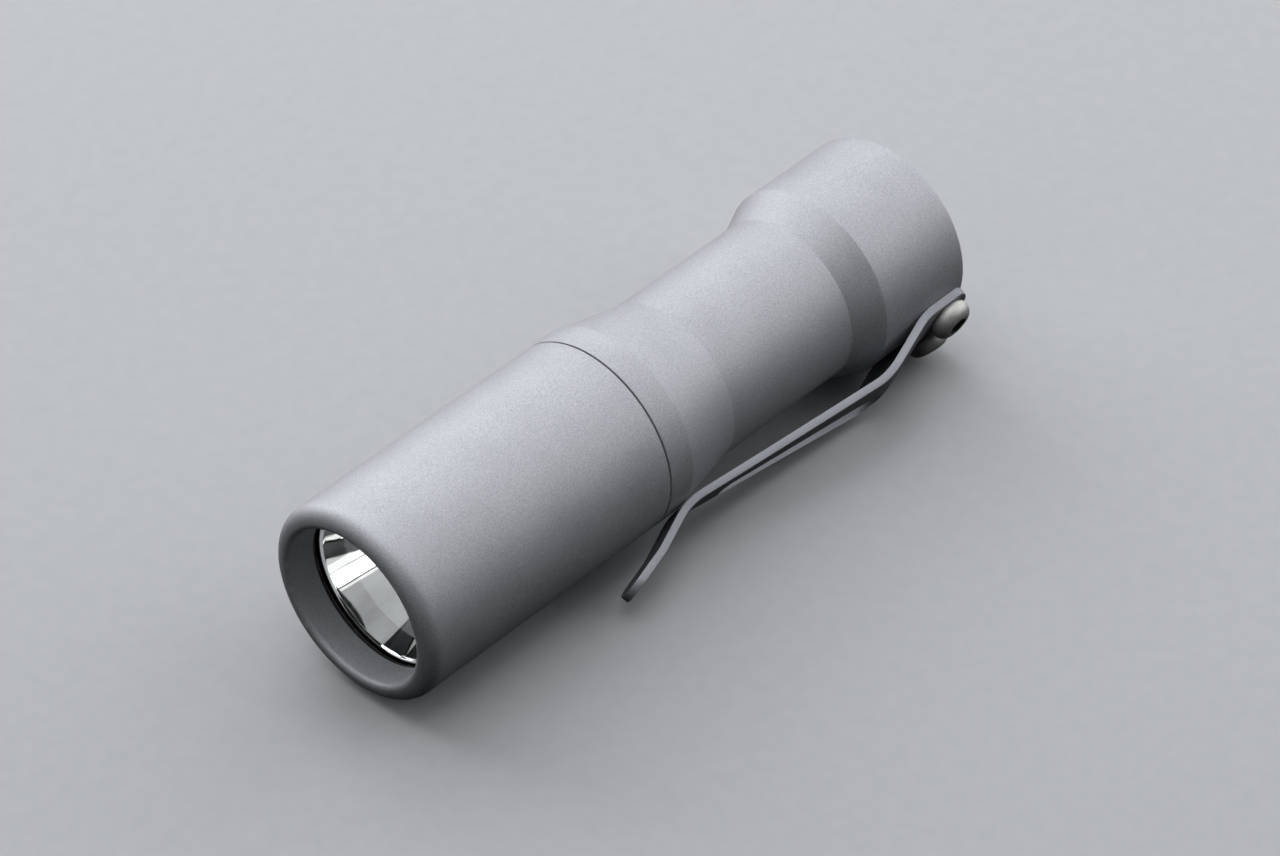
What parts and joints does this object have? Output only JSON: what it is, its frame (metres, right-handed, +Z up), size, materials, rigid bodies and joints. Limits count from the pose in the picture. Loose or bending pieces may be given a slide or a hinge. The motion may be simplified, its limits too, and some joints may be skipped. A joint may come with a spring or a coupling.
{
  "type": "keychain flashlight",
  "caption": "Small twist-switched metal flashlight with a smooth mirror, waisted tube for one short lithium cell, and a springy slotted pocket clip screwed to its tail.",
  "frame": {"origin": "centre of the tail's flat end face", "axes": "+X along the optical axis from the lens towards the tail, +Z up with the light lying on its side, and the clip on the -Y side, 32.5 degrees below the horizontal"},
  "size_m": [0.0834, 0.0261, 0.0233],
  "materials": {
    "shell_metal": "bead-blasted titanium grey",
    "clip_metal": "bead-blasted spring sheet",
    "screw_steel": "turned stainless steel",
    "black_rubber": "satin",
    "window_glass": "coated mineral glass",
    "mirror_metal": "vacuum-metallised",
    "emitter_ceramic": "white ceramic",
    "emitter_phosphor": "phosphor",
    "dome_silicone": "clear silicone",
    "centring_plastic": "moulded",
    "board_aluminium": "white solder mask on aluminium",
    "sink_metal": "turned",
    "driver_laminate": "green solder mask",
    "ferrite": "ferrite",
    "chip_plastic": "moulded epoxy",
    "capacitor_ceramic": "fired ceramic",
    "contact_brass": "turned brass",
    "spring_gold": "gold-plated spring wire",
    "lead_red": "silicone insulation",
    "lead_black": "silicone insulation",
    "cell_steel": "nickel-plated steel",
    "cell_film": "shrink film",
    "washer_board": "insulating card"
  },
  "bodies": {
    "tube": {"body_tube": "shell_metal", "neck_seal": "black_rubber", "clip_screws": "screw_steel", "tail_contact_plate": "contact_brass", "tail_contact_screw": "screw_steel", "tail_spring": "spring_gold"},
    "cell": {"cell_can": "cell_steel", "cell_button": "cell_steel", "cell_washer": "washer_board", "cell_sleeve": "cell_film"},
    "head": {"head_shell": "shell_metal", "window": "window_glass", "window_seal": "black_rubber", "reflector": "mirror_metal", "emitter_base": "emitter_ceramic", "emitter_die": "emitter_phosphor", "emitter_dome": "dome_silicone", "centring_ring": "centring_plastic", "led_board": "board_aluminium", "heat_sink": "sink_metal", "driver_board": "driver_laminate", "driver_coil": "ferrite", "driver_chip": "chip_plastic", "driver_capacitors": "capacitor_ceramic", "retaining_ring": "contact_brass", "contact_post": "contact_brass", "lead_positive": "lead_red", "lead_negative": "lead_black"},
    "clip": {"pocket_clip": "clip_metal"}
  },
  "joints": [
    {"name": "cell_travel", "type": "slide", "parent": "tube", "child": "cell", "axis": [-1, 0, 0], "range_m": [0, 0.0045], "deforming": ["tail_spring"]},
    {"name": "head_twist", "type": "hinge", "parent": "cell", "child": "head", "pos_m": [-0.0478, 0, 0], "axis": [-1, 0, 0], "range_deg": [0, 1620]},
    {"name": "clip_flex", "type": "hinge", "parent": "tube", "child": "clip", "pos_m": [-0.0069, -0.01012, -0.00645], "axis": [0, -0.5373, 0.8434], "range_deg": [0, 4], "stiffness_Nm_per_rad": 2, "deforming": ["pocket_clip"]}
  ],
  "couplings": [
    {"joint": "head_twist", "follows": "cell_travel", "rad_per_m": 6283.2}
  ]
}
